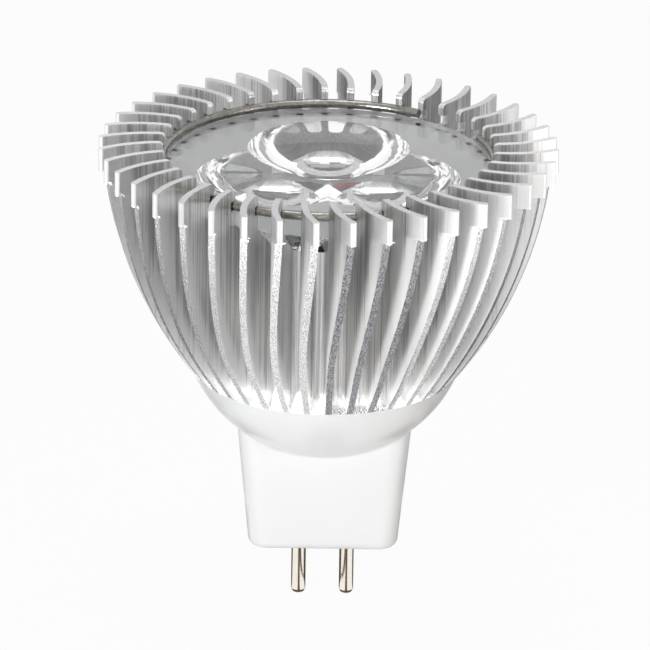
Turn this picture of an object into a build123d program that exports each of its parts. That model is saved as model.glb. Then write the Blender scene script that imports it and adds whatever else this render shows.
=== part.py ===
from build123d import *
import math
import os

# A 50 mm spot lamp with three LEDs under one clear lens, a finned heat sink and a two-pin base.
# Millimetres, +Z towards the light. The origin is on the base's bottom face, midway between the pins.

# Base housing: a drafted block below a round flare that the heat sink stands on
BASE_H = 20.45
BLOCK_W = 16.4
BLOCK_D = 9.3
BLOCK_W_DRAFT = 5.5
BLOCK_D_DRAFT = 2.0
BLOCK_CORNER_R = 2.2
BLOCK_EDGE_R = 1.0
BASE_WALL = 1.4
BASE_FLOOR_T = 2.5
FLARE_H = 9.05
FLARE_BULGE = 1.6
FLARE_BLEND_R = 0.5
SPIGOT_D = 21.8
SPIGOT_H = 3.0
SPIGOT_WALL = 1.5

# Contact pins
PIN_D = 1.6
PIN_PITCH = 5.33
PIN_LENGTH = 7.1
PIN_ROOT_D = 2.0
PIN_COLLAR_D = 2.4
PIN_COLLAR_T = 0.6
PIN_STUB_D = 1.2
PIN_STUB_H = 3.2

# Heat sink: an extrusion with curled fins, turned to a bowl outside and bored inside
SINK_D = 50.0
SINK_H = 25.85
CORE_WALL = 1.45
FOOT_FIN = 0.7
FOOT_RUNOUT_H = 3.0
FIN_COUNT = 40
FIN_T = 0.72
FIN_PHASE = 1.56
FIN_BEND_D = 36.0
FIN_CURL_R = 11.6
FIN_ROOT_R = 0.5
RIM_H = 2.65
RIM_STEP = 0.65
BOWL_BULGE = 1.75
LIP_H = 1.29
LIP_ROUND_R = 0.5
LEDGE_W = 0.65
LEDGE_T = 0.37

# Snap ring: round spring wire with an open gap
WIRE_D = 1.0
RING_SEAT = 0.1
RING_GAP_START = 23.5
RING_GAP_ANGLE = 33.0

# Lens: one clear moulding, a round plate with three merged cups
LENS_D = 35.6
LENS_H = 8.65
LENS_PLATE_T = 1.9
LED_COUNT = 3
LED_CIRCLE_D = 12.6
LED_PHASE = 90.0
CUP_MARGIN = 2.1
CUP_WALL = 0.6
CUP_BULGE = 1.0
POCKET_CROWN = 0.3

# LED emitters
EMITTER_D = 7.9
EMITTER_H = 2.9
EMITTER_SHOULDER_H = 1.2
SLUG_D = 5.8
SLUG_NECK_D = 3.8
SLUG_H = 2.3
CHIP_W = 1.1
CHIP_T = 0.25
DOME_D = 5.5
DOME_H = 2.0
LED_LEAD_W = 1.2
LED_LEAD_T = 0.3
LED_LEAD_H = 1.5
LED_LEAD_L = 2.0

# LED board, its pad and screws
LED_BOARD_MARGIN = 1.75
LED_BOARD_T = 1.6
PAD_T = 0.3
WIRE_HOLE_D = 3.4
BOARD_SCREW_MARGIN = 2.1
BOARD_SCREW_D = 2.0
BOARD_SCREW_L = 6.5
BOARD_SCREW_HEAD_D = 3.8
BOARD_SCREW_HEAD_H = 1.3
SLOT_W = 0.5
SLOT_DEPTH = 0.6

# Screws that hold the base to the heat sink
BASE_SCREW_D = 2.0
BASE_SCREW_L = 12.0
BASE_SCREW_HEAD_D = 3.8
BOSS_D = 3.8
BOSS_MERGE = 0.2

# Driver board and its parts
DRIVER_T = 1.0
DRIVER_HEADROOM = 2.95
DRIVER_SIDE_GAP = 0.4
PART_GAP = 0.4
INDUCTOR_D = 5.6
INDUCTOR_GAP = 0.7
INDUCTOR_HUB_D = 2.6
INDUCTOR_FLANGE_T = 0.6
INDUCTOR_WINDING_D = 5.0
FILTER_CAP_D = 5.0
FILTER_CAP_L = 6.0
DIODE_W = 2.7
DIODE_L = 1.6
DIODE_H = 1.1
DIODE_SPACING = 1.9
CHIP_PACK_W = 4.9
CHIP_PACK_L = 3.9
CHIP_PACK_H = 1.4
CHIP_LEG_COUNT = 4
CHIP_LEG_PITCH = 1.27
CHIP_LEG_W = 0.4
CHIP_LEG_REACH = 0.8
CHIP_LEG_T = 0.25
CERAMIC_W = 3.2
CERAMIC_L = 1.6
CERAMIC_H = 1.2
RESISTOR_W = 3.2
RESISTOR_L = 1.6
RESISTOR_H = 0.55
FREEWHEEL_W = 4.3
FREEWHEEL_L = 2.2
FREEWHEEL_H = 1.4

# Lead wires from the driver board to the LED board
LEAD_D = 1.1
LEAD_PITCH = 1.45
LEAD_PAD_X = -2.0
LEAD_OVERLAP = 2.6
LEAD_PAD_R = 5.4
LEAD_ARCH_H = 1.5
LEAD_BEND_R = 1.4

# Clearances
FIT = 0.05
LENS_GAP = 0.15
BOARD_GAP = 0.55
CUP_SIDE_GAP = 0.15
POCKET_GAP = 0.1
RING_SEAT_GAP = 0.02
HOLE_GAP = 0.15
SOLDER_GAP = 0.05

# Radii shared by pieces that fit together
LED_R = LED_CIRCLE_D / 2
LED_BOARD_R = LED_R + EMITTER_D / 2 + LED_BOARD_MARGIN
BOARD_SCREW_R = LED_BOARD_R - BOARD_SCREW_MARGIN
RECESS_R = LED_BOARD_R + BOARD_GAP
CORE_R = RECESS_R + CORE_WALL
FOOT_R = CORE_R + FOOT_FIN
LENS_BORE_R = LENS_D / 2 + LENS_GAP
LEDGE_R = LENS_BORE_R - LEDGE_W
RING_R = LENS_BORE_R + RING_SEAT
GROOVE_R = RING_R + WIRE_D / 2 + HOLE_GAP
POCKET_R = DOME_D / 2 + POCKET_GAP
CUP_FOOT_R = POCKET_R + CUP_WALL
CUP_MOUTH_R = LEDGE_R - CUP_MARGIN - LED_R
SPIGOT_BORE_R = SPIGOT_D / 2 - SPIGOT_WALL
BASE_SCREW_X = SPIGOT_BORE_R + BOSS_MERGE - BOSS_D / 2

# Heights along the axis, worked up from the base and down from the fins' tops
SINK_TOP = BASE_H + SINK_H
RING_Z = SINK_TOP - LIP_H - RING_SEAT_GAP - WIRE_D / 2
LENS_TOP = RING_Z - WIRE_D / 2 - RING_SEAT_GAP
LEDGE_Z = LENS_TOP - LENS_PLATE_T
LENS_BOTTOM = LENS_TOP - LENS_H
CUP_RISE = LEDGE_Z - LENS_BOTTOM
CUP_SPREAD = CUP_MOUTH_R - CUP_FOOT_R
CUP_CHORD = math.hypot(CUP_RISE, CUP_SPREAD)
CUP_ARC_R = CUP_CHORD ** 2 / (8 * CUP_BULGE) + CUP_BULGE / 2
CUP_ARC_BACK = (CUP_ARC_R - CUP_BULGE) / CUP_CHORD
CUP_REACH = CORE_R - CUP_SIDE_GAP - LED_R - (CUP_FOOT_R + CUP_MOUTH_R) / 2 + CUP_ARC_BACK * CUP_RISE
CUP_DROP = math.sqrt(CUP_ARC_R ** 2 - CUP_REACH ** 2)
CORE_TOP_Z = (LENS_BOTTOM + LEDGE_Z) / 2 + CUP_ARC_BACK * CUP_SPREAD - CUP_DROP
CONE_FOOT_Z = CORE_TOP_Z - CORE_WALL * CUP_REACH / CUP_DROP
LED_BOARD_TOP = LENS_BOTTOM - FIT - EMITTER_H
PAD_TOP = LED_BOARD_TOP - LED_BOARD_T
FLOOR_Z = PAD_TOP - PAD_T
SPIGOT_TOP = BASE_H + SPIGOT_H
POCKET_TOP = SPIGOT_TOP + HOLE_GAP

# The driver board stands on the pins' collars, between the bosses and under the heat sink
DRIVER_W = 2 * BASE_SCREW_X - BOSS_D - 2 * DRIVER_SIDE_GAP
DRIVER_Z = BASE_FLOOR_T + PIN_COLLAR_T
DRIVER_TOP = SPIGOT_TOP - DRIVER_HEADROOM
DRIVER_FRONT = PIN_STUB_D / 2 + SOLDER_GAP
DRIVER_BACK = DRIVER_FRONT + DRIVER_T
ROOM_Z = DRIVER_TOP - FILTER_CAP_D - 2 * PART_GAP
INDUCTOR_H = BLOCK_D / 2 - BASE_WALL + DRIVER_FRONT - INDUCTOR_GAP

LED_ANGLES = [LED_PHASE + 360 * n / LED_COUNT for n in range(LED_COUNT)]
SCREW_ANGLES = [angle + 180 / LED_COUNT for angle in LED_ANGLES]
UP = (Align.CENTER, Align.CENTER, Align.MIN)


def rod(diameter, z0, z1, x=0.0, y=0.0):
    """An upright cylinder between two heights."""
    return Pos(x, y, z0) * Cylinder(diameter / 2, z1 - z0, align=UP)


def slab(width, depth, z0, z1, x=0.0, y=0.0):
    """An upright box between two heights."""
    return Pos(x, y, z0) * Box(width, depth, z1 - z0, align=UP)


def turned(*edges):
    """Turns a closed outline of radius and height about the axis."""
    return revolve(Plane.XZ * make_face(Curve() + list(edges)), Axis.Z)


def polar(radius, angle):
    """The point at an angle on a circle about the axis."""
    turn = math.radians(angle)
    return radius * math.cos(turn), radius * math.sin(turn)


def crown_arc(brim, brim_z, apex_z):
    """A spherical crown's outline, from its brim to its apex on the axis."""
    rise = apex_z - brim_z
    radius = (brim ** 2 + rise ** 2) / (2 * rise)
    half = math.asin(min(1, brim / abs(radius))) / 2
    middle = (abs(radius) * math.sin(half), apex_z - radius * (1 - math.cos(half)))
    return ThreePointArc((brim, brim_z), middle, (0, apex_z))


def fin_outline():
    """One fin's plan along +X: straight from the core, then curled, with a round tip."""
    half = FIN_T / 2
    bend = FIN_BEND_D / 2
    reach = SINK_D / 2 - half
    across = 2 * bend * FIN_CURL_R
    along = 2 * FIN_CURL_R ** 2
    rest = reach ** 2 - bend ** 2 - along
    curl = math.asin(rest / math.hypot(across, along)) + math.atan2(along, across)

    def on_curl(radius, angle):
        return bend + radius * math.sin(angle), FIN_CURL_R - radius * math.cos(angle)

    inner = FIN_CURL_R - half
    outer = FIN_CURL_R + half
    end = on_curl(FIN_CURL_R, curl)
    tip = (end[0] + half * math.cos(curl), end[1] + half * math.sin(curl))
    edges = [
        Line((0, half), (bend, half)),
        ThreePointArc((bend, half), on_curl(inner, curl / 2), on_curl(inner, curl)),
        ThreePointArc(on_curl(inner, curl), tip, on_curl(outer, curl)),
        ThreePointArc(on_curl(outer, curl), on_curl(outer, curl / 2), (bend, -half)),
        Line((bend, -half), (0, -half)),
        Line((0, -half), (0, half)),
    ]
    return make_face(Curve() + edges)


def extruded_fins():
    """The raw extrusion: a round core with curled fins and rounded gap roots."""
    fin = fin_outline()
    section = Circle(CORE_R)
    section += [Rot(0, 0, FIN_PHASE + 360 * n / FIN_COUNT) * fin for n in range(FIN_COUNT)]
    roots = [v for v in section.vertices() if abs(math.hypot(v.X, v.Y) - CORE_R) < FIT]
    gap = 2 * math.pi * CORE_R / FIN_COUNT - FIN_T
    section = fillet(roots, min(FIN_ROOT_R, 0.45 * gap))
    return Pos(0, 0, BASE_H) * extrude(section, SINK_H) + gap_runout()


def gap_runout():
    """The hollow curve that closes the gaps between the fins at the heat sink's foot."""
    width = FOOT_R - CORE_R
    half_turn = math.atan2(width, FOOT_RUNOUT_H)
    radius = math.hypot(width, FOOT_RUNOUT_H) / (2 * math.sin(half_turn))
    top = BASE_H + FOOT_RUNOUT_H
    inside = CORE_R - CORE_WALL / 2
    middle = (CORE_R + radius * (1 - math.cos(half_turn)), top - radius * math.sin(half_turn))
    return turned(
        ThreePointArc((CORE_R, top), middle, (FOOT_R, BASE_H)),
        Polyline((FOOT_R, BASE_H), (inside, BASE_H), (inside, top), (CORE_R, top)),
    )


def sink_envelope():
    """What the lathe leaves: the bowl outside, the lens seat, cone and recess inside."""
    waist = SINK_D / 2 - RIM_STEP
    step_z = SINK_TOP - RIM_H
    clear = SINK_D / 2 + FIN_T
    cone_top = LEDGE_Z - LEDGE_T
    spigot_bore = SPIGOT_D / 2 + FIT
    near = LIP_ROUND_R * (1 - math.sqrt(0.5))
    rim = Polyline(
        (waist, step_z), (clear, step_z), (clear, SINK_TOP), (LENS_BORE_R + LIP_ROUND_R, SINK_TOP)
    )
    lip = ThreePointArc(
        rim @ 1, (LENS_BORE_R + near, SINK_TOP - near), (LENS_BORE_R, SINK_TOP - LIP_ROUND_R)
    )
    bore = Polyline(
        lip @ 1, (LENS_BORE_R, SINK_TOP - LIP_H), (GROOVE_R, SINK_TOP - LIP_H),
        (GROOVE_R, LENS_TOP), (LENS_BORE_R, LENS_TOP), (LENS_BORE_R, LEDGE_Z),
        (LEDGE_R, LEDGE_Z), (LEDGE_R, cone_top), (CORE_R, CORE_TOP_Z), (RECESS_R, CONE_FOOT_Z),
        (RECESS_R, FLOOR_Z), (WIRE_HOLE_D / 2, FLOOR_Z), (WIRE_HOLE_D / 2, POCKET_TOP),
        (spigot_bore, POCKET_TOP), (spigot_bore, BASE_H), (FOOT_R, BASE_H),
    )
    bowl = SagittaArc((FOOT_R, BASE_H), (waist, step_z), -BOWL_BULGE)
    return turned(rim, lip, bore, bowl)


def heat_sink():
    """The finned heat sink with its screw holes."""
    envelope = sink_envelope()
    tap_depth = BOARD_SCREW_L - LED_BOARD_T - PAD_T + 2 * HOLE_GAP
    for angle in SCREW_ANGLES:
        x, y = polar(BOARD_SCREW_R, angle)
        envelope -= rod(BOARD_SCREW_D + 2 * FIT, FLOOR_Z - tap_depth, FLOOR_Z, x, y)
    for side in (-1, 1):
        envelope -= Pos(side * BASE_SCREW_X) * countersunk(2 * HOLE_GAP, POCKET_TOP)
    return extruded_fins() & envelope


def countersunk(gap, z0):
    """A countersunk screw's form on the axis, its flat head level with the recess floor."""
    head = (BASE_SCREW_HEAD_D + gap) / 2
    shank = (BASE_SCREW_D + gap) / 2
    neck = FLOOR_Z - (head - shank)
    return turned(
        Polyline((0, z0), (shank, z0), (shank, neck), (head, FLOOR_Z), (0, FLOOR_Z), (0, z0))
    )


def snap_ring():
    """The round wire ring, open over its gap, with square-cut ends."""
    wire = Plane.XZ * Pos(RING_R, RING_Z) * Circle(WIRE_D / 2)
    ring = revolve(wire, Axis.Z, 360 - RING_GAP_ANGLE)
    return Rot(0, 0, RING_GAP_START + RING_GAP_ANGLE) * ring


def lens_cup():
    """One cup on the axis, its wall bulging from the foot up into the plate."""
    inside_plate = LEDGE_Z + LENS_PLATE_T / 2
    wall = SagittaArc((CUP_FOOT_R, LENS_BOTTOM), (CUP_MOUTH_R, LEDGE_Z), -CUP_BULGE)
    return turned(
        wall,
        Polyline(
            wall @ 1, (CUP_MOUTH_R, inside_plate), (0, inside_plate), (0, LENS_BOTTOM), wall @ 0
        ),
    )


def emitter_pocket():
    """The pocket in a cup's foot that takes an LED's dome, with a bulging ceiling."""
    apex = LENS_BOTTOM + DOME_H + POCKET_GAP
    brim = apex + POCKET_CROWN
    return turned(
        Polyline((0, apex), (0, LENS_BOTTOM), (POCKET_R, LENS_BOTTOM), (POCKET_R, brim)),
        crown_arc(POCKET_R, brim, apex),
    )


def triple_lens():
    """The clear plate with its three cups and their pockets."""
    places = [Pos(*polar(LED_R, angle)) for angle in LED_ANGLES]
    lens = rod(LENS_D, LEDGE_Z, LENS_TOP)
    lens += [place * lens_cup() for place in places]
    lens -= [place * emitter_pocket() for place in places]
    return lens


def board_disc(z0, z1):
    """A disc of the LED board's size with the holes for the screws and the wires."""
    disc = rod(2 * LED_BOARD_R, z0, z1) - rod(WIRE_HOLE_D, z0, z1)
    for angle in SCREW_ANGLES:
        disc -= rod(BOARD_SCREW_D + 2 * HOLE_GAP, z0, z1, *polar(BOARD_SCREW_R, angle))
    return disc


def board_screw():
    """A slotted pan-head screw on the axis, its head seated on the LED board."""
    screw = rod(BOARD_SCREW_HEAD_D, LED_BOARD_TOP, LED_BOARD_TOP + BOARD_SCREW_HEAD_H)
    screw = chamfer(screw.edges().group_by(Axis.Z)[-1], BOARD_SCREW_HEAD_H / 3)
    screw += rod(BOARD_SCREW_D, LED_BOARD_TOP - BOARD_SCREW_L, LED_BOARD_TOP)
    top = LED_BOARD_TOP + BOARD_SCREW_HEAD_H
    return screw - slab(BOARD_SCREW_HEAD_D, SLOT_W, top - SLOT_DEPTH, top)


def base_screw():
    """A slotted countersunk screw on the axis, its head level with the recess floor."""
    screw = countersunk(0, FLOOR_Z - BASE_SCREW_L)
    return screw - slab(BASE_SCREW_HEAD_D, SLOT_W, FLOOR_Z - SLOT_DEPTH, FLOOR_Z)


def emitter_slug():
    """The copper slug, wide at the board and necked inside the body."""
    base = rod(SLUG_D, LED_BOARD_TOP, LED_BOARD_TOP + EMITTER_SHOULDER_H)
    return base + rod(SLUG_NECK_D, LED_BOARD_TOP, LED_BOARD_TOP + SLUG_H)


def emitter_body():
    """The moulded ring round the slug."""
    top = LED_BOARD_TOP + EMITTER_H
    body = rod(EMITTER_D, LED_BOARD_TOP, top)
    body -= rod(SLUG_D + 2 * FIT, LED_BOARD_TOP, LED_BOARD_TOP + EMITTER_SHOULDER_H + FIT)
    return body - rod(SLUG_NECK_D + 2 * FIT, LED_BOARD_TOP, top)


def emitter_chip():
    """The coated chip on the slug."""
    seat = LED_BOARD_TOP + SLUG_H
    return slab(CHIP_W, CHIP_W, seat, seat + CHIP_T)


def emitter_dome():
    """The clear dome, which fills the body's well down to the slug and the chip."""
    brim = DOME_D / 2
    neck = SLUG_NECK_D / 2
    seat = LED_BOARD_TOP + SLUG_H
    top = LED_BOARD_TOP + EMITTER_H
    dome = turned(
        Polyline((0, top + DOME_H), (0, seat), (neck, seat), (neck, top), (brim, top)),
        crown_arc(brim, top, top + DOME_H),
    )
    return dome - emitter_chip()


def emitter_lead():
    """One bent lead along +X, from the body's side down to its foot on the board."""
    start = EMITTER_D / 2 + FIT
    end = start + LED_LEAD_L
    bend = (start + end) / 2
    low = LED_BOARD_TOP
    high = LED_BOARD_TOP + LED_LEAD_H
    strip = Polyline(
        (start, high), (bend, high), (bend, low + LED_LEAD_T), (end, low + LED_LEAD_T),
        (end, low), (bend - LED_LEAD_T, low), (bend - LED_LEAD_T, high - LED_LEAD_T),
        (start, high - LED_LEAD_T), close=True,
    )
    return extrude(Plane.XZ * make_face(strip), LED_LEAD_W / 2, both=True)


def block_form(z0, z1, inset=0.0):
    """The base block between two heights, drafted more across its width than its depth."""
    across = []
    for size, draft in ((BLOCK_W, BLOCK_W_DRAFT), (BLOCK_D, BLOCK_D_DRAFT)):
        low = size / 2 - inset + z0 * math.tan(math.radians(draft))
        high = size / 2 - inset + z1 * math.tan(math.radians(draft))
        outline = Polyline((-low, z0), (low, z0), (high, z1), (-high, z1), close=True)
        across.append(make_face(outline))
    block = extrude(Plane.XZ * across[0], BLOCK_W, both=True)
    block &= extrude(Plane.YZ * across[1], BLOCK_W, both=True)
    corners = [e for e in block.edges() if abs((e @ 0).Z - (e @ 1).Z) > FIT]
    return fillet(corners, BLOCK_CORNER_R - inset / 2)


def base_shell():
    """The base's outside: drafted block blended into the round flare."""
    block = block_form(0, BASE_H - FLARE_H / 3)
    block = fillet(block.edges().group_by(Axis.Z)[0], BLOCK_EDGE_R)
    flare_z = BASE_H - FLARE_H
    foot = BLOCK_D / 2
    flare = turned(
        Polyline((FOOT_R, BASE_H), (0, BASE_H), (0, flare_z), (foot, flare_z)),
        SagittaArc((foot, flare_z), (FOOT_R, BASE_H), -FLARE_BULGE),
    )
    shell = block + flare
    return fillet(new_edges(block, flare, combined=shell), FLARE_BLEND_R)


def base_housing():
    """The white base with its spigot and screw bosses, hollow for the driver."""
    base = base_shell() + rod(SPIGOT_D, BASE_H, SPIGOT_TOP)
    base -= block_form(BASE_FLOOR_T, ROOM_Z, BASE_WALL)
    room = rod(2 * SPIGOT_BORE_R, ROOM_Z, SPIGOT_TOP)
    for side in (-1, 1):
        room -= rod(BOSS_D, ROOM_Z, SPIGOT_TOP, side * BASE_SCREW_X)
    base -= room
    for side in (-1, 1):
        hole_z = FLOOR_Z - BASE_SCREW_L - HOLE_GAP
        base -= rod(BASE_SCREW_D + 2 * FIT, hole_z, SPIGOT_TOP, side * BASE_SCREW_X)
        base -= rod(PIN_ROOT_D + 2 * FIT, 0, BASE_FLOOR_T, side * PIN_PITCH / 2)
    return base


def contact_pin():
    """One pin on the axis: round tip, shank, root in the base's floor, collar and solder stub."""
    shank = PIN_D / 2
    root = PIN_ROOT_D / 2
    collar = PIN_COLLAR_D / 2
    stub = PIN_STUB_D / 2
    round_z = shank - PIN_LENGTH
    stub_top = DRIVER_Z + PIN_STUB_H
    return turned(
        crown_arc(shank, round_z, -PIN_LENGTH),
        Polyline(
            (shank, round_z), (shank, 0), (root, 0), (root, BASE_FLOOR_T), (collar, BASE_FLOOR_T),
            (collar, DRIVER_Z), (stub, DRIVER_Z), (stub, stub_top), (0, stub_top), (0, -PIN_LENGTH),
        ),
    )


def driver_board():
    """The upright board that stands on the pins' collars."""
    middle = (DRIVER_FRONT + DRIVER_BACK) / 2
    return slab(DRIVER_W, DRIVER_T, DRIVER_Z, DRIVER_TOP, 0, middle)


def on_front(x, z):
    """A place on the driver board's front face, with +Z pointing away from the board."""
    return Pos(x, DRIVER_FRONT, z) * Rot(90, 0, 0)


def on_back(x, z):
    """A place on the driver board's back face, with +Z pointing away from the board."""
    return Pos(x, DRIVER_BACK, z) * Rot(-90, 0, 0)


def inductor_core():
    """The drum core: two flanges on a hub."""
    core = rod(INDUCTOR_D, 0, INDUCTOR_FLANGE_T)
    core += rod(INDUCTOR_HUB_D, 0, INDUCTOR_H)
    return core + rod(INDUCTOR_D, INDUCTOR_H - INDUCTOR_FLANGE_T, INDUCTOR_H)


def inductor_winding():
    """The wound coil between the drum's flanges."""
    low = INDUCTOR_FLANGE_T + FIT
    high = INDUCTOR_H - INDUCTOR_FLANGE_T - FIT
    return rod(INDUCTOR_WINDING_D, low, high) - rod(INDUCTOR_HUB_D + 2 * FIT, low, high)


def filter_capacitor():
    """A can capacitor with a crimped waist and a bevelled end."""
    can = FILTER_CAP_D / 2
    crimp = FILTER_CAP_D / 20
    waist = FILTER_CAP_L / 5
    return turned(
        Polyline(
            (0, 0), (can, 0), (can, waist - crimp), (can - crimp, waist), (can, waist + crimp),
            (can, FILTER_CAP_L - crimp), (can - crimp, FILTER_CAP_L), (0, FILTER_CAP_L), close=True,
        )
    )


def moulded_part(width, length, height):
    """A small moulded body with a chamfered top, seated on a board."""
    body = slab(width, length, 0, height)
    return chamfer(body.edges().group_by(Axis.Z)[-1], height / 6)


def driver_chip():
    """The control chip with a row of bent legs on each long side."""
    chip = moulded_part(CHIP_PACK_W, CHIP_PACK_L, CHIP_PACK_H)
    first = -CHIP_LEG_PITCH * (CHIP_LEG_COUNT - 1) / 2
    span = CHIP_PACK_L + 2 * CHIP_LEG_REACH
    for n in range(CHIP_LEG_COUNT):
        x = first + n * CHIP_LEG_PITCH
        chip += slab(CHIP_LEG_W, span, 0, CHIP_LEG_T, x)
    return chip


def lead_route(side):
    """One wire's corners, from its driver pad up through the wire hole to its LED pad."""
    pad_x = LEAD_PAD_X + side * LEAD_PITCH / 2
    hole_x = side * LEAD_PITCH / 2
    y = DRIVER_FRONT - LEAD_D / 2 - SOLDER_GAP
    arch = LED_BOARD_TOP + LEAD_D / 2 + LEAD_ARCH_H
    end_angle = SCREW_ANGLES[-1] if side > 0 else SCREW_ANGLES[0]
    end_x, end_y = polar(LEAD_PAD_R, end_angle)
    low = LED_BOARD_TOP + LEAD_D / 2 + SOLDER_GAP
    return [
        (pad_x, y, DRIVER_TOP - LEAD_OVERLAP),
        (pad_x, y, DRIVER_TOP),
        (hole_x, 0, POCKET_TOP),
        (hole_x, 0, arch),
        (end_x / 2, end_y / 2, arch),
        (end_x, end_y, low),
    ]


def lead_wire(side):
    """A lead wire as straight runs joined by tangent arcs."""
    path = FilletPolyline(*lead_route(side), radius=LEAD_BEND_R)
    start = Plane(path @ 0, z_dir=path % 0)
    return sweep(start * Circle(LEAD_D / 2), path=path)


def led_nodes():
    """The three emitters, each as its separate pieces."""
    nodes = {}
    for number, angle in enumerate(LED_ANGLES, start=1):
        place = Pos(*polar(LED_R, angle)) * Rot(0, 0, angle + 90)
        nodes[f"led_{number}_body"] = place * emitter_body()
        nodes[f"led_{number}_slug"] = place * emitter_slug()
        nodes[f"led_{number}_chip"] = place * emitter_chip()
        nodes[f"led_{number}_dome"] = place * emitter_dome()
        nodes[f"led_{number}_lead_in"] = place * emitter_lead()
        nodes[f"led_{number}_lead_out"] = place * Rot(0, 0, 180) * emitter_lead()
    return nodes


def driver_nodes():
    """The driver board and what is soldered to it, stacked along its two faces."""
    inductor_place = on_front(0, DRIVER_Z + PIN_STUB_H + PART_GAP + INDUCTOR_D / 2)
    edge = DRIVER_W / 2 - PART_GAP
    resistor_z = DRIVER_TOP - LEAD_OVERLAP - PART_GAP - RESISTOR_L / 2
    ceramic_z = resistor_z - RESISTOR_L / 2 - PART_GAP - CERAMIC_L / 2
    freewheel_z = DRIVER_TOP - PART_GAP - FREEWHEEL_L / 2
    chip_z = freewheel_z - FREEWHEEL_L / 2 - PART_GAP - CHIP_LEG_REACH - CHIP_PACK_L / 2
    cap_place = on_front(edge - FILTER_CAP_D / 2, DRIVER_TOP - PART_GAP - FILTER_CAP_D / 2)
    ceramic = moulded_part(CERAMIC_W, CERAMIC_L, CERAMIC_H)
    resistor = moulded_part(RESISTOR_W, RESISTOR_L, RESISTOR_H)
    freewheel = moulded_part(FREEWHEEL_W, FREEWHEEL_L, FREEWHEEL_H)
    diode = moulded_part(DIODE_W, DIODE_L, DIODE_H)
    nodes = {
        "driver_board": driver_board(),
        "inductor_core": inductor_place * inductor_core(),
        "inductor_winding": inductor_place * inductor_winding(),
        "filter_capacitor": cap_place * filter_capacitor(),
        "driver_chip": on_back(0, chip_z) * driver_chip(),
        "ceramic_capacitor": on_front(CERAMIC_W / 2 - edge, ceramic_z) * ceramic,
        "sense_resistor": on_front(RESISTOR_W / 2 - edge, resistor_z) * resistor,
        "freewheel_diode": on_back(0, freewheel_z) * freewheel,
    }
    for n in range(4):
        x = (n % 2 - 0.5) * (DIODE_W + DIODE_SPACING)
        z = DRIVER_Z + PART_GAP + DIODE_L / 2 + n // 2 * (DIODE_L + PART_GAP)
        nodes[f"rectifier_diode_{n + 1}"] = on_back(x, z) * diode
    return nodes


def lamp_nodes():
    """Every piece of the lamp by name."""
    pin_places = {"left": -PIN_PITCH / 2, "right": PIN_PITCH / 2}
    nodes = {
        "heat_sink": heat_sink(),
        "triple_lens": triple_lens(),
        "snap_ring": snap_ring(),
        "led_board": board_disc(PAD_TOP, LED_BOARD_TOP),
        "thermal_pad": board_disc(FLOOR_Z, PAD_TOP),
        "board_screws": Compound(
            [Pos(*polar(BOARD_SCREW_R, angle)) * board_screw() for angle in SCREW_ANGLES]
        ),
        "base_screws": Compound([Pos(side * BASE_SCREW_X) * base_screw() for side in (-1, 1)]),
        "base_housing": base_housing(),
        "lead_wire_red": lead_wire(1),
        "lead_wire_black": lead_wire(-1),
    }
    for name, x in pin_places.items():
        nodes[f"contact_pin_{name}"] = Pos(x) * contact_pin()
    return nodes | led_nodes() | driver_nodes()


os.makedirs("parts", exist_ok=True)
for node, solid in lamp_nodes().items():
    export_step(solid, f"parts/{node}.step")
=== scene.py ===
"""Dresses a finned spot lamp: metal, clear and moulded finishes, a pale stage and its camera."""
import math
import random

import bmesh
import bpy
from bpy.props import FloatProperty, FloatVectorProperty, PointerProperty
from mathutils import Matrix, Vector


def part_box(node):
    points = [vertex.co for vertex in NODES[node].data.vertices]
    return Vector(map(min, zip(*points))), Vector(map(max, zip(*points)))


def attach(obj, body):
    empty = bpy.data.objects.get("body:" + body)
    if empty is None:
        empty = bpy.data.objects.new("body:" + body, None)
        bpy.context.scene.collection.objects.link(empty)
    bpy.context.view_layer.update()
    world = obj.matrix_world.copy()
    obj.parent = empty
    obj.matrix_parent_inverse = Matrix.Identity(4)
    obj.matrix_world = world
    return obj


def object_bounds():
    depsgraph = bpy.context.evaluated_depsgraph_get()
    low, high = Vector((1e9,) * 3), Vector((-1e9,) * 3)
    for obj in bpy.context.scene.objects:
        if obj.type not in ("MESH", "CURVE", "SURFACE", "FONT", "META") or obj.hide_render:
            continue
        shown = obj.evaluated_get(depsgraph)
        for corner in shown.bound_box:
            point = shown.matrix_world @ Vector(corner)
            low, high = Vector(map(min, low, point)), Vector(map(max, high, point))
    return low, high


bl_info = {
    "name": "Spot lamp dressing",
    "version": (1, 0, 0),
    "blender": (4, 5, 0),
    "location": "View3D > Sidebar > Spot Lamp",
    "description": "Finishes, stage and camera for a finned spot lamp",
    "category": "Object",
}

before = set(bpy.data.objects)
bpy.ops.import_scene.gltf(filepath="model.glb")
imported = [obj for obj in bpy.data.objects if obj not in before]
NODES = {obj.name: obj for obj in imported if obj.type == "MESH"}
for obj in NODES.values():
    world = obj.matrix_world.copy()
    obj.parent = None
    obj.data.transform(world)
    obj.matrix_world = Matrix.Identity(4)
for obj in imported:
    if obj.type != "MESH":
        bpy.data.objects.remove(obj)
CAD_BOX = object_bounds()
SINK_LOW, SINK_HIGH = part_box("heat_sink")
LENS_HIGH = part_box("triple_lens")[1]

MM = 0.001
UP = Vector((0, 0, 1))

# The heat sink's turned outline and its fins. Fin angles are in degrees.
SINK_TOP_MM = SINK_HIGH.z / MM
SINK_FOOT_MM = SINK_LOW.z / MM
RIM_H_MM = 2.65
STEP_MM = SINK_TOP_MM - RIM_H_MM
FOOT_R_MM = 14.7
WAIST_R_MM = 24.35
BOWL_H_MM = STEP_MM - SINK_FOOT_MM
BOWL_BULGE_MM = 1.9
FIN_COUNT = 40
FIN_PITCH = 360 / FIN_COUNT
FIN_TURN = 6.4

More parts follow.
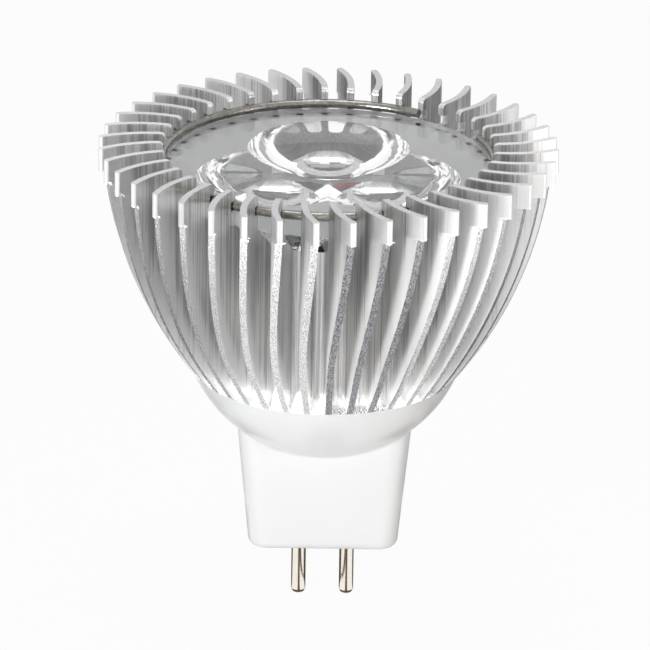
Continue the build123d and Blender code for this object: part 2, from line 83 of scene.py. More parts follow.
# The lens plate and the pins.
LENS_R_MM = LENS_HIGH.x / MM
PLATE_H_MM = 1.9
PLATE_FOOT_MM = LENS_HIGH.z / MM - PLATE_H_MM
PIN_X_MM = 2.67
EMITTERS = (1, 2, 3)
RECTIFIERS = (1, 2, 3, 4)

# Noise scales, in marks to a millimetre. A small third value draws the marks out along the axis.
STREAK_SCALE = (1.3, 1.3, 0.012)
HAIR_SCALE = (3.5, 3.5, 0.03)
METAL_CLOUD_SCALE = (0.22, 0.22, 0.10)
CUT_GRAIN_SCALE = (6.5, 6.5, 5.0)
WIRE_LINE_SCALE = (0.3, 0.3, 9.0)
WIRE_SPOT_SCALE = (2.2, 2.2, 2.2)
LENS_HAZE_SCALE = (0.5, 0.5, 0.5)
FROST_SCALE = (9.0, 9.0, 9.0)
DOME_HAZE_SCALE = (1.5, 1.5, 1.5)
MOULD_GRAIN_SCALE = (7.0, 7.0, 7.0)
MOULD_CLOUD_SCALE = (0.12, 0.12, 0.12)
PIN_RING_SCALE = (0.4, 0.4, 14.0)
PIN_SPOT_SCALE = (1.8, 1.8, 1.8)
FLOOR_SCALE = (0.8, 0.8, 0.8)
PAPER_SCALE = (1.0, 1.0, 1.0)

# Where the heat sink's surfaces begin: how far a face looks out, up or in, and radii.
TURNED_FACING = (0.35, 0.6)
TURNED_FROM_MM = (14.2, 14.5)
FACED_FACING = (0.6, 0.9)
BORED_FACING = (0.1, 0.4)
BORED_WITHIN_MM = (15.0, 16.5)
# The band of each fin side next to its edge, which the finish draws lighter as painted light for
# the key light along the edges, and rougher.
OUTER_BAND_MM = (0.4, 2.4)
STEP_SOFT_MM = 0.05

# Parts of the turn, in radians, where the cut edges are drawn darker as painted shade, standing in
# for the dark reflections there: soft start, then soft end.
SHADED_EDGES_FRONT = (-1.59, -1.55, -1.10, -1.06)
SHADED_EDGES_RIGHT = (-0.75, -0.60, 0.9, 1.1)
SHADED_EDGES_RIGHT_SHARE = 0.8

# Ramps of the heat sink: a place along the noise and the colour there.
BRIGHT_CUT = ((0.36, (0.50, 0.51, 0.54)), (0.52, (0.98, 0.98, 0.98)))
# The darker ramp of the cut edges is painted shade for the edges at the front and right of the
# turn.
SHADED_CUT = ((0.36, (0.13, 0.135, 0.15)), (0.60, (0.62, 0.62, 0.64)))
FACED_TOP = ((0.3, (0.52, 0.52, 0.53)), (0.7, (0.74, 0.74, 0.75)))
# The bored wall inside the sink: a streaky tone drawn dark as painted shade in the recess.
SHADED_BORE_WALL = ((0.4, (0.27, 0.27, 0.275)), (0.6, (0.42, 0.42, 0.425)))

# Second colours and constants of the finishes.
AGED_METAL = (0.53, 0.52, 0.505)
RING_DARK = (0.12, 0.115, 0.105)
PIN_TARNISH = (0.84, 0.78, 0.69)
BASE_CLOUD_SHARE = 0.965
METAL_SHARE = 0.86
METAL_ANISOTROPY = 0.6
ACRYLIC_IOR = 1.49
SILICONE_IOR = 1.41
WHITE = (1.0, 1.0, 1.0)

# The frost under the lens plate: full near the plate's foot, gone a little further off.
LEVEL_FACING = (0.8, 0.95)
FROST_FULL_MM = 0.1
FROST_END_MM = 0.2
EDGE_FROM_MM = 0.1
EDGE_FULL_MM = 0.05
FROST_ROUGHNESS = 0.8
MILKY_SHARE = 0.46

# Burrs: sizes in millimetres, reach and lift as shares of a burr's size.
BURR_SEED = 16
BURR_COUNTS = (1, 2, 2, 3)
BURR_SIZE_MM = (0.12, 0.34)
BURR_INSET_MM = (0.05, 0.6)
BURR_ROOT_MM = 0.12
BURR_REACH = (0.5, 1.4)
BURR_LIFT = (-0.9, 0.3)
STEP_NEAR_MM = 0.05
STEP_OVERHANG_MM = 0.3

# The stage.
GLOSSY_BOUNCES = 12
MAX_BOUNCES = 16
FLOOR_REACH = 4.0
FLOOR_GLOW_SHARE = 0.95
FLOOR_COLORS = ((0.88, 0.88, 0.88), (0.90, 0.90, 0.90))
SENSOR_MM = 36.0
VIEW_END = 10.0

# Papers: the colour at the lamp's axis and the colour at PAPER_SPAN_MM from it.
PAPER_SPAN_MM = 300
PAPERS = {
    "dim_paper": ((0.85, 0.85, 0.85), (0.90, 0.90, 0.90)),
    "dark_paper": ((0.12, 0.12, 0.12), (0.25, 0.25, 0.25)),
    "brown_paper": ((0.17, 0.115, 0.06), (0.23, 0.165, 0.10)),
}

# Cards: centre across in mm, start and end of the turn in degrees, near and far radius in mm.
CARD_LIFT_MM = 0.3
CARD_STEPS = 24
CARDS = (
    ("ring_card", 0.0, -240, 60, 100, 145, "dim_paper"),
    ("foot_card", 0.0, -84, -50, 28, 90, "dark_paper"),
    ("back_card", 0.0, 35, 145, 60, 300, "dark_paper"),
    ("left_card", 0.0, 125, 205, 30, 100, "dark_paper"),
    ("right_card", 0.0, -8, 60, 30, 75, "dark_paper"),
    ("pin_card_left", -PIN_X_MM, -97, -69, 0.5, 20, "brown_paper"),
    ("pin_card_right", PIN_X_MM, -102, -74, 0.5, 20, "brown_paper"),
    ("pin_foot_left", -PIN_X_MM, 0, 360, 0, 1.1, "brown_paper"),
    ("pin_foot_right", PIN_X_MM, 0, 360, 0, 1.1, "brown_paper"),
    ("pin_back_card_left", -PIN_X_MM, 15, 165, 1, 25, "brown_paper"),
    ("pin_back_card_right", PIN_X_MM, 15, 165, 1, 25, "brown_paper"),
)

# Lamps: azimuth and elevation in degrees, distance and size in metres, share of the key's power.
LAMPS = (
    ("key", -126, 4, 0.60, 0.14, 1.0, WHITE),
    ("front", -88, 30, 1.05, 0.40, 0.10, WHITE),
    ("right", -30, 1, 0.30, 0.10, 0.14, (1.0, 0.96, 0.92)),
    ("top", 90, 84, 0.90, 0.50, 0.75, WHITE),
)


def emitter_nodes(piece):
    return tuple(f"led_{number}_{piece}" for number in EMITTERS)


# Inner finishes: dark and light colour, roughness, metallic, specks to a millimetre, CAD nodes.
MODULE_FINISHES = (
    ("board_mask", (0.42, 0.42, 0.41), (0.52, 0.52, 0.50), 0.35, 0.0, 3.0, ("led_board",)),
    ("heat_pad", (0.30, 0.31, 0.33), (0.42, 0.43, 0.45), 0.6, 0.0, 3.0, ("thermal_pad",)),
    (
        "zinc_screw", (0.45, 0.46, 0.47), (0.66, 0.67, 0.68), 0.28, 1.0, 3.0,
        ("board_screws", "base_screws"),
    ),
    (
        "red_insulation", (0.26, 0.012, 0.016), (0.38, 0.03, 0.03), 0.35, 0.0, 3.0,
        ("lead_wire_red",),
    ),
    (
        "black_insulation", (0.02, 0.02, 0.02), (0.05, 0.05, 0.05), 0.35, 0.0, 3.0,
        ("lead_wire_black",),
    ),
    (
        "emitter_moulding", (0.74, 0.74, 0.72), (0.84, 0.84, 0.82), 0.4, 0.0, 3.0,
        emitter_nodes("body"),
    ),
    (
        "bare_copper", (0.55, 0.30, 0.18), (0.80, 0.50, 0.34), 0.25, 1.0, 3.0,
        emitter_nodes("slug"),
    ),
    (
        "chip_coating", (0.80, 0.62, 0.10), (0.92, 0.76, 0.20), 0.5, 0.0, 12.0,
        emitter_nodes("chip"),
    ),
    (
        "tinned_lead", (0.55, 0.55, 0.55), (0.75, 0.75, 0.74), 0.2, 1.0, 3.0,
        emitter_nodes("lead_in") + emitter_nodes("lead_out"),
    ),
)
DRIVER_FINISHES = (
    ("green_mask", (0.03, 0.20, 0.09), (0.06, 0.30, 0.14), 0.35, 0.0, 3.0, ("driver_board",)),
    ("ferrite", (0.05, 0.05, 0.05), (0.12, 0.12, 0.13), 0.6, 0.0, 3.0, ("inductor_core",)),
    (
        "enamelled_copper", (0.42, 0.16, 0.07), (0.70, 0.34, 0.18), 0.25, 1.0, 3.0,
        ("inductor_winding",),
    ),
    ("drawn_can", (0.60, 0.60, 0.62), (0.78, 0.78, 0.80), 0.25, 1.0, 3.0, ("filter_capacitor",)),
    ("tan_ceramic", (0.45, 0.32, 0.18), (0.62, 0.48, 0.30), 0.5, 0.0, 3.0, ("ceramic_capacitor",)),
    (
        "black_package", (0.02, 0.02, 0.02), (0.06, 0.06, 0.06), 0.5, 0.0, 9.0,
        (
            "driver_chip", "sense_resistor", "freewheel_diode",
            *(f"rectifier_diode_{number}" for number in RECTIFIERS),
        ),
    ),
)


class Wire:
    """A value in a finish's node tree, so that shader maths reads as Python."""

    def __init__(self, finish, socket):
        self.finish = finish
        self.socket = socket

    def maths(self, operation, *values):
        settings = {"operation": operation}
        return self.finish.node("Math", settings, dict(enumerate(values)))

    def __add__(self, other):
        return self.maths("ADD", self, other)

    def __radd__(self, other):
        return self.maths("ADD", other, self)

    def __sub__(self, other):
        return self.maths("SUBTRACT", self, other)

    def __rsub__(self, other):
        return self.maths("SUBTRACT", other, self)

    def __mul__(self, other):
        return self.maths("MULTIPLY", self, other)

    def __rmul__(self, other):
        return self.maths("MULTIPLY", other, self)

    def __truediv__(self, other):
        return self.maths("DIVIDE", self, other)

    def __pow__(self, other):
        return self.maths("POWER", self, other)

    def __neg__(self):
        return self.maths("MULTIPLY", self, -1.0)


class Finish:
    """The node tree of one material or of the world."""

    def __init__(self, tree):
        self.tree = tree
        tree.nodes.clear()

    def node(self, kind, settings=None, sockets=None, output=0):
        """Adds a node, applies its settings, feeds its sockets and gives one output."""
        node = self.tree.nodes.new("ShaderNode" + kind)
        for key, value in (settings or {}).items():
            if key == "stops":
                self.set_stops(node.color_ramp.elements, value)
            else:
                setattr(node, key, value)
        for key, value in (sockets or {}).items():
            self.feed(node.inputs[key], value)
        return Wire(self, node.outputs[output]) if node.outputs else None

    def set_stops(self, elements, stops):
        while len(elements) < len(stops):
            elements.new(0.5)
        for element, (position, color) in zip(elements, stops):
            element.position = position
            element.color = (*color, 1.0)

    def feed(self, socket, value):
        if isinstance(value, Wire):
            self.tree.links.new(value.socket, socket)
        elif socket.type == "RGBA" and len(value) == 3:
            socket.default_value = (*value, 1.0)
        else:
            socket.default_value = value

    def place(self):
        """Millimetres in the lamp's own frame."""
        point = self.node("TexCoord", output="Object")
        return self.scaled(point, (1 / MM, 1 / MM, 1 / MM))

    def scaled(self, vector, factors):
        return self.node("VectorMath", {"operation": "MULTIPLY"}, {0: vector, 1: factors})

    def axes(self, vector):
        split = self.node("SeparateXYZ", None, {0: vector})
        outputs = split.socket.node.outputs
        return [Wire(self, socket) for socket in outputs]

    def noise(self, vector, scale, detail=3.0, roughness=0.55):
        sockets = {"Vector": self.scaled(vector, scale), "Scale": 1.0}
        sockets.update({"Detail": detail, "Roughness": roughness})
        return self.node("TexNoise", None, sockets, "Fac")

    def ease(self, value, low, high):
        """0 below low, 1 above high and smooth between."""
        sockets = {"Value": value, "From Min": low, "From Max": high}
        return self.node("MapRange", {"interpolation_type": "SMOOTHSTEP"}, sockets)

    def band(self, value, start, full, fade, end):
        """1 from full to fade, 0 outside start and end, and smooth between."""
        return self.ease(value, start, full) * (1 - self.ease(value, fade, end))

    def ramp(self, value, *stops):
        return self.node("ValToRGB", {"stops": stops}, {0: value})

    def mix(self, share, first, second):
        settings = {"data_type": "RGBA"}
        return self.node("Mix", settings, {0: share, 6: first, 7: second}, 2)

    def bump(self, height, depth_mm):
        sockets = {"Height": height, "Distance": depth_mm * MM, "Strength": 1.0}
        return self.node("Bump", None, sockets)

    def matte(self, color):
        """A shader with no gloss."""
        sockets = {"Base Color": color, "Roughness": 1.0, "Specular IOR Level": 0.0}
        return self.node("BsdfPrincipled", None, sockets)

    def shade(self, sockets):
        """Ends the tree in one Principled shader."""
        surface = self.node("BsdfPrincipled", None, sockets)
        self.node("OutputMaterial", None, {"Surface": surface})

    def blend(self, share, first, second, output="OutputMaterial"):
        """Ends the tree in a mix of two shaders."""
        surface = self.node("MixShader", None, {0: share, 1: first, 2: second})
        self.node(output, None, {"Surface": surface})


def new_finish(name):
    material = bpy.data.materials.new(name)
    material.use_nodes = True
    return material, Finish(material.node_tree)


def dress(node, material):
    """Gives a CAD node a finish in place of its plain one."""
    for slot in NODES[node].material_slots:
        slot.material = material


def dress_inner(rows):
    """Makes each row's speckled finish and gives it to the row's nodes."""
    for *look, nodes in rows:
        material = speckled(*look)
        for node in nodes:
            dress(node, material)


def toward(azimuth, elevation=0.0):
    """A direction from two angles in degrees."""
    turn = math.radians(azimuth)
    lift = math.radians(elevation)
    away = math.cos(lift)
    return Vector((math.cos(turn) * away, math.sin(turn) * away, math.sin(lift)))


def bowl_radius(z):
    """Radius of the heat sink's bulging wall at a height."""
    share = (z - SINK_FOOT_MM) / BOWL_H_MM
    cone = FOOT_R_MM + share * (WAIST_R_MM - FOOT_R_MM)
    return cone + share * (1 - share) * 4 * BOWL_BULGE_MM


def extruded_aluminium(look):
    """Die-drawn fin sides with lighter outer bands of painted light, rough turned edges with
    painted shade at the front and right, faced tops and a bore darkened with painted shade.
    """
    material, f = new_finish("extruded_aluminium")
    place = f.place()
    x, y, z = f.axes(place)
    nx, ny, nz = f.axes(f.node("TexCoord", output="Normal"))
    radius = (x * x + y * y) ** 0.5
    outward = (nx * x + ny * y) / radius
    turn = y.maths("ARCTAN2", y, x)

    streaks = f.noise(place, STREAK_SCALE, 5.0, 0.8)
    hairs = f.noise(place, HAIR_SCALE, 4.0, 0.75)
    cloud = f.noise(place, METAL_CLOUD_SCALE, 2.0)
    grain = f.noise(place, CUT_GRAIN_SCALE, 4.0, 0.65)

    below_rim = 1 - f.ease(z, STEP_MM - STEP_SOFT_MM, STEP_MM + STEP_SOFT_MM)
    cut = f.ease(outward, *TURNED_FACING) * f.ease(radius, *TURNED_FROM_MM) * below_rim
    faced = f.ease(nz, *FACED_FACING)
    bored = f.ease(-outward, *BORED_FACING) * (1 - f.ease(radius, *BORED_WITHIN_MM))
    # Painted light: the outer band along each fin's edge is drawn lighter, standing in for the key
    # light falling there; the streaks, hairs and cloud add real tone.
    outer = 1 - f.ease(bowl_radius(z) - radius, *OUTER_BAND_MM)
    # Painted shade: the cut edges at the front and right of the turn get the darker ramp, standing
    # in for dark reflections.
    painted_shade_and_dark_tone = f.band(turn, *SHADED_EDGES_FRONT) + f.band(turn, *SHADED_EDGES_RIGHT) * SHADED_EDGES_RIGHT_SHARE

    streak_tone_and_lit_band = streaks * 0.5 + hairs * 0.35 + cloud * 0.15 + outer * 0.10 - 0.024
    aged = f.mix(f.ease(cloud, 0.42, 0.58), look.metal_dark, AGED_METAL)
    color = f.mix(f.ease(streak_tone_and_lit_band, 0.41, 0.54), aged, look.metal_light)
    cut_color = f.mix(painted_shade_and_dark_tone, f.ramp(grain, *BRIGHT_CUT), f.ramp(grain, *SHADED_CUT))
    color = f.mix(cut, color, cut_color)
    color = f.mix(faced, color, f.ramp(grain, *FACED_TOP))
    # Painted shade: the bored wall of the recess is drawn dark, over a streaky tone.
    color = f.mix(bored, color, f.ramp(hairs, *SHADED_BORE_WALL))

    roughness = look.metal_roughness + hairs * 0.14 - cut * 0.04 + faced * 0.2
    roughness = roughness + outer * below_rim * (1 - cut) * 0.14
    drawn = (1 - cut) * (streaks * 1.2 + hairs * 0.6)
    height = drawn + cut * grain * 4.0 + faced * grain * 0.5
    f.shade({
        "Base Color": color,
        "Metallic": METAL_SHARE,
        "Anisotropic": METAL_ANISOTROPY,
        "Roughness": roughness,
        "Normal": f.bump(height, 0.02),
    })
    return material


def spring_steel(look):
    """Dark drawn wire with lines along it."""
    material, f = new_finish("spring_steel")
    place = f.place()
    lines = f.noise(place, WIRE_LINE_SCALE, 4.0, 0.6)
    spots = f.noise(place, WIRE_SPOT_SCALE, 4.0, 0.6)
    marks = lines * 0.5 + spots * 0.5
    f.shade({
        "Base Color": f.ramp(marks, (0.32, RING_DARK), (0.68, look.ring_color)),
        "Metallic": 1.0,
        "Roughness": 0.12 + spots * 0.14,
        "Normal": f.bump(lines, 0.015),
    })
    return material


def clear_acrylic():
    """The clear lens, frosted under its plate and round its edge."""
    material, f = new_finish("clear_acrylic")
    place = f.place()
    x, y, z = f.axes(place)
    nz = f.axes(f.node("TexCoord", output="Normal"))[2]
    radius = (x * x + y * y) ** 0.5
    level = nz.maths("ABSOLUTE", nz)
    underside = f.ease(level, *LEVEL_FACING) * f.band(
        z,
        PLATE_FOOT_MM - FROST_END_MM, PLATE_FOOT_MM - FROST_FULL_MM,
        PLATE_FOOT_MM + FROST_FULL_MM, PLATE_FOOT_MM + FROST_END_MM,
    )
    edge = f.ease(radius, LENS_R_MM - EDGE_FROM_MM, LENS_R_MM - EDGE_FULL_MM)
    frost = underside.maths("MAXIMUM", underside, edge)
    haze = f.noise(place, LENS_HAZE_SCALE)
    grain = f.noise(place, FROST_SCALE)
    clear = f.node("BsdfPrincipled", None, {
        "Base Color": f.mix(haze, (0.965, 0.975, 0.98), WHITE),
        "Roughness": 0.004 + haze * 0.016 + frost * FROST_ROUGHNESS,
        "IOR": ACRYLIC_IOR,
        "Transmission Weight": 1.0,
        "Normal": f.bump(haze * 0.5 + frost * grain * 2.0, 0.01),
    })
    milky = f.matte(f.mix(haze, (0.86, 0.87, 0.88), (0.92, 0.92, 0.93)))
    f.blend(frost * MILKY_SHARE, clear, milky)
    return material


def clear_silicone():
    """The emitters' soft clear domes."""
    material, f = new_finish("clear_silicone")
    haze = f.noise(f.place(), DOME_HAZE_SCALE)
    f.shade({
        "Base Color": f.mix(haze, (0.95, 0.94, 0.90), (0.98, 0.98, 0.96)),
        "Roughness": 0.02 + haze * 0.03,
        "IOR": SILICONE_IOR,
        "Transmission Weight": 1.0,
        "Normal": f.bump(haze, 0.01),
    })
    return material


def white_moulding(look):
    """Soft-gloss white plastic with a fine mould grain."""
    material, f = new_finish("white_moulding")
    place = f.place()
    grain = f.noise(place, MOULD_GRAIN_SCALE, 3.0, 0.6)
    cloud = f.noise(place, MOULD_CLOUD_SCALE, 2.0)
    # A slightly darker copy of the base colour, which the cloud mixes in at random as tone; no
    # shade is painted here.
    painted_shade_and_dark_tone = tuple(BASE_CLOUD_SHARE * c for c in look.base_color)
    f.shade({
        "Base Color": f.mix(cloud, painted_shade_and_dark_tone, look.base_color),
        "Roughness": 0.26 + grain * 0.12,
        "Normal": f.bump(grain, 0.004),
        "Coat Weight": 0.2,
        "Coat Roughness": 0.15,
    })
    return material


def plated_pin(look):
    """Bright plating with faint turning rings."""
    material, f = new_finish("plated_pin")
    place = f.place()
    rings = f.noise(place, PIN_RING_SCALE, 3.0, 0.6)
    spots = f.noise(place, PIN_SPOT_SCALE, 3.0, 0.6)
    f.shade({
        "Base Color": f.mix(spots, PIN_TARNISH, look.pin_color),
        "Metallic": 1.0,
        "Roughness": 0.05 + rings * 0.08,
        "Normal": f.bump(rings, 0.006),
    })
    return material


def speckled(name, dark, light, roughness, metallic, scale):
    """An inner finish: two near colours in fine specks, with a little bump."""
    material, f = new_finish(name)
    specks = f.noise(f.place(), (scale, scale, scale), 4.0, 0.6)
    f.shade({
        "Base Color": f.ramp(specks, (0.35, dark), (0.65, light)),
        "Metallic": metallic,
        "Roughness": roughness + specks * 0.15,
        "Normal": f.bump(specks, 0.01),
    })
    return material


def seen_white(f):
    """1 for rays from the camera, a reflection or a clear piece, and 0 for the light itself."""
    path = f.node("LightPath")
    outputs = path.socket.node.outputs
    seen = Wire(f, outputs["Is Camera Ray"])
    for name in ("Is Glossy Ray", "Is Transmission Ray"):
        seen = seen.maths("MAXIMUM", seen, Wire(f, outputs[name]))
    return seen


def floor_finish():
    """A white sweep that keeps a light shadow."""
    material, f = new_finish("white_sweep")
    fibre = f.noise(f.place(), FLOOR_SCALE, 2.0)
    glow = f.node("Emission", None, {"Color": WHITE, "Strength": 1.0})
    f.blend(seen_white(f) * FLOOR_GLOW_SHARE, f.matte(f.mix(fibre, *FLOOR_COLORS)), glow)
    return material


def floor_paper(name, near_color, far_color):
    """Paper whose colour follows the distance from the lamp's axis."""
    material, f = new_finish(name)
    place = f.place()
    x, y = f.axes(place)[:2]
    share = (x * x + y * y) ** 0.5 / PAPER_SPAN_MM
    weave = f.noise(place, PAPER_SCALE, 2.0)
    f.shade({
        "Base Color": f.ramp(share, (0.0, near_color), (1.0, far_color)),
        "Roughness": 0.8 + weave * 0.1,
    })
    return material


class SPOTLAMP_PG_finishes(bpy.types.PropertyGroup):
    """Colours and gloss that a user would change."""

    metal_dark: FloatVectorProperty(
        name="Metal, streak", description="Darker drawn streaks of the heat sink",
        subtype="COLOR", default=(0.51, 0.515, 0.525), min=0, max=1,
    )
    metal_light: FloatVectorProperty(
        name="Metal", description="Main colour of the heat sink",
        subtype="COLOR", default=(0.965, 0.965, 0.965), min=0, max=1,
    )
    metal_roughness: FloatProperty(
        name="Metal roughness", description="Lowest roughness of the fin sides",
        subtype="FACTOR", default=0.24, min=0, max=1,
    )
    ring_color: FloatVectorProperty(
        name="Snap ring", description="Lighter colour of the spring wire",
        subtype="COLOR", default=(0.36, 0.345, 0.32), min=0, max=1,
    )
    base_color: FloatVectorProperty(
        name="Base", description="Colour of the moulded base",
        subtype="COLOR", default=(0.78, 0.785, 0.79), min=0, max=1,
    )
    pin_color: FloatVectorProperty(
        name="Pins", description="Lighter colour of the plated pins",
        subtype="COLOR", default=(1.0, 0.96, 0.89), min=0, max=1,
    )


class SPOTLAMP_PG_stage(bpy.types.PropertyGroup):
    """The camera's place and the studio's light."""

    view_distance: FloatProperty(
        name="View distance", description="From the camera to the centre of the rim",
        unit="LENGTH", default=0.65, min=0.1,
    )
    view_elevation: FloatProperty(
        name="View elevation", description="Angle of the camera above the rim",
        subtype="ANGLE", default=math.radians(19.78),
    )
    view_roll: FloatProperty(
        name="View roll", description="Lean of the lamp in the picture",
        subtype="ANGLE", default=math.radians(0.85),
    )
    view_aim: FloatVectorProperty(
        name="View aim", description="Point at the middle of the picture",
        subtype="TRANSLATION", unit="LENGTH", default=(-0.0001, -0.0067, 0.0277),
    )
    lens: FloatProperty(
        name="Focal length", description="Focal length of the camera in millimetres",
        default=331.7, min=1,
    )
    ambient: FloatProperty(
        name="Ambient light", description="Strength of the light tent all round",
        default=0.22, min=0,
    )
    key_power: FloatProperty(
        name="Key light", description="Power of the key light, which the other lamps follow",
        unit="POWER", default=2.75, min=0,
    )


class SPOTLAMP_OT_heat_sink(bpy.types.Operator):
    """Finishes the heat sink and its snap ring, and adds the burrs under the rim."""

    bl_idname = "spotlamp.heat_sink"
    bl_label = "Heat sink and snap ring"

    def execute(self, context):
        look = context.scene.spotlamp_finishes
        aluminium = extruded_aluminium(look)
        dress("heat_sink", aluminium)
        dress("snap_ring", spring_steel(look))
        self.build_burrs(context, aluminium)
        return {"FINISHED"}

    def build_burrs(self, context, material):
        """Small flakes that the turning tool left at the lower corner of each fin's rim step."""
        rng = random.Random(BURR_SEED)
        mesh = bpy.data.meshes.new("rim_burrs")
        net = bmesh.new()
        for corner in self.step_corners():
            side = Vector((-corner.y, corner.x, 0)).normalized()
            out = Vector((corner.x, corner.y, 0)).normalized()
            for _ in range(rng.choice(BURR_COUNTS)):
                size = rng.uniform(*BURR_SIZE_MM) * MM
                middle = corner - out * rng.uniform(*BURR_INSET_MM) * MM
                tip = side * rng.uniform(*BURR_REACH) + UP * rng.uniform(*BURR_LIFT)
                root = middle - side * BURR_ROOT_MM * MM
                points = (
                    root + UP * (0.6 * size),
                    root - out * 0.6 * size,
                    root + out * 0.3 * size - UP * (0.4 * size),
                    middle + tip * size,
                )
                bmesh.ops.convex_hull(net, input=[net.verts.new(point) for point in points])
        net.to_mesh(mesh)
        net.free()
        mesh.materials.append(material)
        burrs = bpy.data.objects.new("rim_burrs", mesh)
        context.scene.collection.objects.link(burrs)
        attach(burrs, "root")

    def step_corners(self):
        """The foremost corner, round the lamp, of each fin's rim step."""
        sink = NODES["heat_sink"]
        step_z = SINK_HIGH.z - RIM_H_MM * MM
        least_r = (WAIST_R_MM + STEP_OVERHANG_MM) * MM
        found = {}
        for vertex in sink.data.vertices:
            point = sink.matrix_world @ vertex.co
            if abs(point.z - step_z) > STEP_NEAR_MM * MM or point.xy.length < least_r:
                continue
            turn = math.degrees(math.atan2(point.y, point.x))
            fin = round((turn - FIN_TURN) / FIN_PITCH) % FIN_COUNT
            offset = (turn - FIN_TURN + FIN_PITCH / 2) % FIN_PITCH
            if fin not in found or offset > found[fin][0]:
                found[fin] = (offset, point)
        return [found[fin][1] for fin in sorted(found)]


class SPOTLAMP_OT_lens(bpy.types.Operator):
    """Finishes the clear lens and the emitters' domes."""

    bl_idname = "spotlamp.lens"
    bl_label = "Lens"

    def execute(self, context):
        dress("triple_lens", clear_acrylic())
        silicone = clear_silicone()
        for dome in emitter_nodes("dome"):
            dress(dome, silicone)
        return {"FINISHED"}


class SPOTLAMP_OT_base(bpy.types.Operator):
    """Finishes the moulded base and its contact pins."""

    bl_idname = "spotlamp.base"
    bl_label = "Base and pins"

    def execute(self, context):
        look = context.scene.spotlamp_finishes
        dress("base_housing", white_moulding(look))
        plating = plated_pin(look)
        for pin in ("contact_pin_left", "contact_pin_right"):
            dress(pin, plating)
        return {"FINISHED"}


class SPOTLAMP_OT_led_module(bpy.types.Operator):
    """Finishes the LED board, its emitters, screws and wires."""

    bl_idname = "spotlamp.led_module"
    bl_label = "LED module"

    def execute(self, context):
        dress_inner(MODULE_FINISHES)
        return {"FINISHED"}


class SPOTLAMP_OT_driver(bpy.types.Operator):
    """Finishes the driver board and its parts inside the base."""

    bl_idname = "spotlamp.driver"
    bl_label = "Driver"

    def execute(self, context):
        dress_inner(DRIVER_FINISHES)
        return {"FINISHED"}


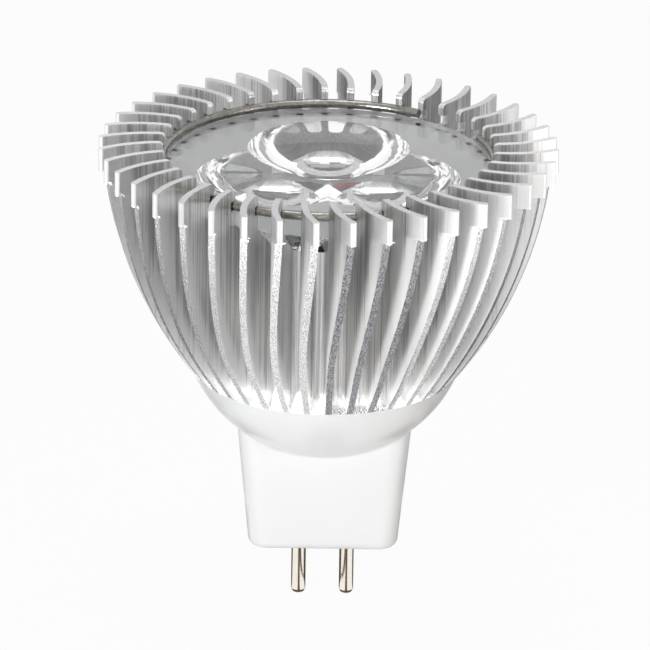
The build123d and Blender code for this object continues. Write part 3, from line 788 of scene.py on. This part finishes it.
class SPOTLAMP_OT_stage(bpy.types.Operator):
    """Builds the pale floor, the soft light and the camera."""

    bl_idname = "spotlamp.stage"
    bl_label = "Stage"

    def execute(self, context):
        stage = context.scene.spotlamp_stage
        self.build_floor(context)
        self.build_cards(context)
        self.build_world(context, stage)
        self.build_lamps(context, stage)
        self.build_camera(context, stage)
        context.scene.view_settings.view_transform = "Standard"
        context.scene.cycles.glossy_bounces = GLOSSY_BOUNCES
        context.scene.cycles.max_bounces = MAX_BOUNCES
        return {"FINISHED"}

    def build_floor(self, context):
        mesh = bpy.data.meshes.new("floor")
        net = bmesh.new()
        bmesh.ops.create_grid(net, x_segments=1, y_segments=1, size=FLOOR_REACH)
        net.to_mesh(mesh)
        net.free()
        mesh.materials.append(floor_finish())
        floor = bpy.data.objects.new("floor", mesh)
        floor.location.z = CAD_BOX[0].z
        context.scene.collection.objects.link(floor)

    def build_cards(self, context):
        """Papers on the floor that only reflections show, for the dim room round the lamp."""
        papers = {name: floor_paper(name, *colors) for name, colors in PAPERS.items()}
        for name, middle_mm, start, end, near_mm, far_mm, paper in CARDS:
            middle = Vector((middle_mm * MM, 0, CAD_BOX[0].z + CARD_LIFT_MM * MM))
            near = []
            far = []
            for step in range(CARD_STEPS + 1):
                side = toward(start + (end - start) * step / CARD_STEPS)
                near.append(middle + side * near_mm * MM)
                far.append(middle + side * far_mm * MM)
            self.build_card(context, name, near, far, papers[paper])

    def build_card(self, context, name, near, far, material):
        mesh = bpy.data.meshes.new(name)
        net = bmesh.new()
        inner = [net.verts.new(point) for point in near]
        outer = [net.verts.new(point) for point in far]
        for step in range(CARD_STEPS):
            net.faces.new((inner[step], outer[step], outer[step + 1], inner[step + 1]))
        net.to_mesh(mesh)
        net.free()
        mesh.materials.append(material)
        card = bpy.data.objects.new(name, mesh)
        card.visible_camera = False
        card.visible_diffuse = False
        card.visible_shadow = False
        context.scene.collection.objects.link(card)

    def build_world(self, context, stage):
        world = bpy.data.worlds.new("light_tent")
        world.use_nodes = True
        context.scene.world = world
        f = Finish(world.node_tree)
        light = f.node("Background", None, {"Color": WHITE, "Strength": stage.ambient})
        backdrop = f.node("Background", None, {"Color": WHITE, "Strength": 1.0})
        f.blend(seen_white(f), light, backdrop, "OutputWorld")

    def build_lamps(self, context, stage):
        target = Vector((0, 0, SINK_LOW.z))
        for name, azimuth, elevation, distance, size, share, color in LAMPS:
            light = bpy.data.lights.new(name, "AREA")
            light.shape = "SQUARE"
            light.size = size
            light.energy = stage.key_power * share
            light.color = color
            lamp = bpy.data.objects.new(name, light)
            lamp.location = target + toward(azimuth, elevation) * distance
            aim = target - lamp.location
            lamp.rotation_euler = aim.to_track_quat("-Z", "Y").to_euler()
            lamp.visible_camera = False
            context.scene.collection.objects.link(lamp)

    def build_camera(self, context, stage):
        data = bpy.data.cameras.new("camera")
        data.lens = stage.lens
        data.sensor_width = SENSOR_MM
        data.clip_end = VIEW_END
        camera = bpy.data.objects.new("camera", data)
        rim = Vector((0, 0, SINK_HIGH.z))
        rise = math.sin(stage.view_elevation)
        away = math.cos(stage.view_elevation)
        camera.location = rim + stage.view_distance * Vector((0, -away, rise))
        aim = Vector(stage.view_aim) - camera.location
        turn = aim.to_track_quat("-Z", "Y").to_matrix().to_4x4()
        roll = Matrix.Rotation(stage.view_roll, 4, "Z")
        camera.rotation_euler = (turn @ roll).to_euler()
        context.scene.collection.objects.link(camera)
        context.scene.camera = camera


class SPOTLAMP_PT_panel(bpy.types.Panel):
    """Lists the lamp's settings and operators."""

    bl_idname = "SPOTLAMP_PT_panel"
    bl_label = "Spot Lamp"
    bl_space_type = "VIEW_3D"
    bl_region_type = "UI"
    bl_category = "Spot Lamp"

    def draw(self, context):
        for group in (context.scene.spotlamp_finishes, context.scene.spotlamp_stage):
            for name in group.bl_rna.properties.keys():
                if name not in ("rna_type", "name"):
                    self.layout.prop(group, name)
        for step in STEPS:
            self.layout.operator(step.bl_idname)


STEPS = (
    SPOTLAMP_OT_stage,
    SPOTLAMP_OT_heat_sink,
    SPOTLAMP_OT_lens,
    SPOTLAMP_OT_base,
    SPOTLAMP_OT_led_module,
    SPOTLAMP_OT_driver,
)
CLASSES = (SPOTLAMP_PG_finishes, SPOTLAMP_PG_stage, *STEPS, SPOTLAMP_PT_panel)


def register():
    for cls in CLASSES:
        bpy.utils.register_class(cls)
    bpy.types.Scene.spotlamp_finishes = PointerProperty(type=SPOTLAMP_PG_finishes)
    bpy.types.Scene.spotlamp_stage = PointerProperty(type=SPOTLAMP_PG_stage)


def unregister():
    del bpy.types.Scene.spotlamp_stage
    del bpy.types.Scene.spotlamp_finishes
    for cls in reversed(CLASSES):
        bpy.utils.unregister_class(cls)


def main():
    register()
    for step in STEPS:
        group, name = step.bl_idname.split(".")
        getattr(getattr(bpy.ops, group), name)()


if __name__ == "__main__":
    main()
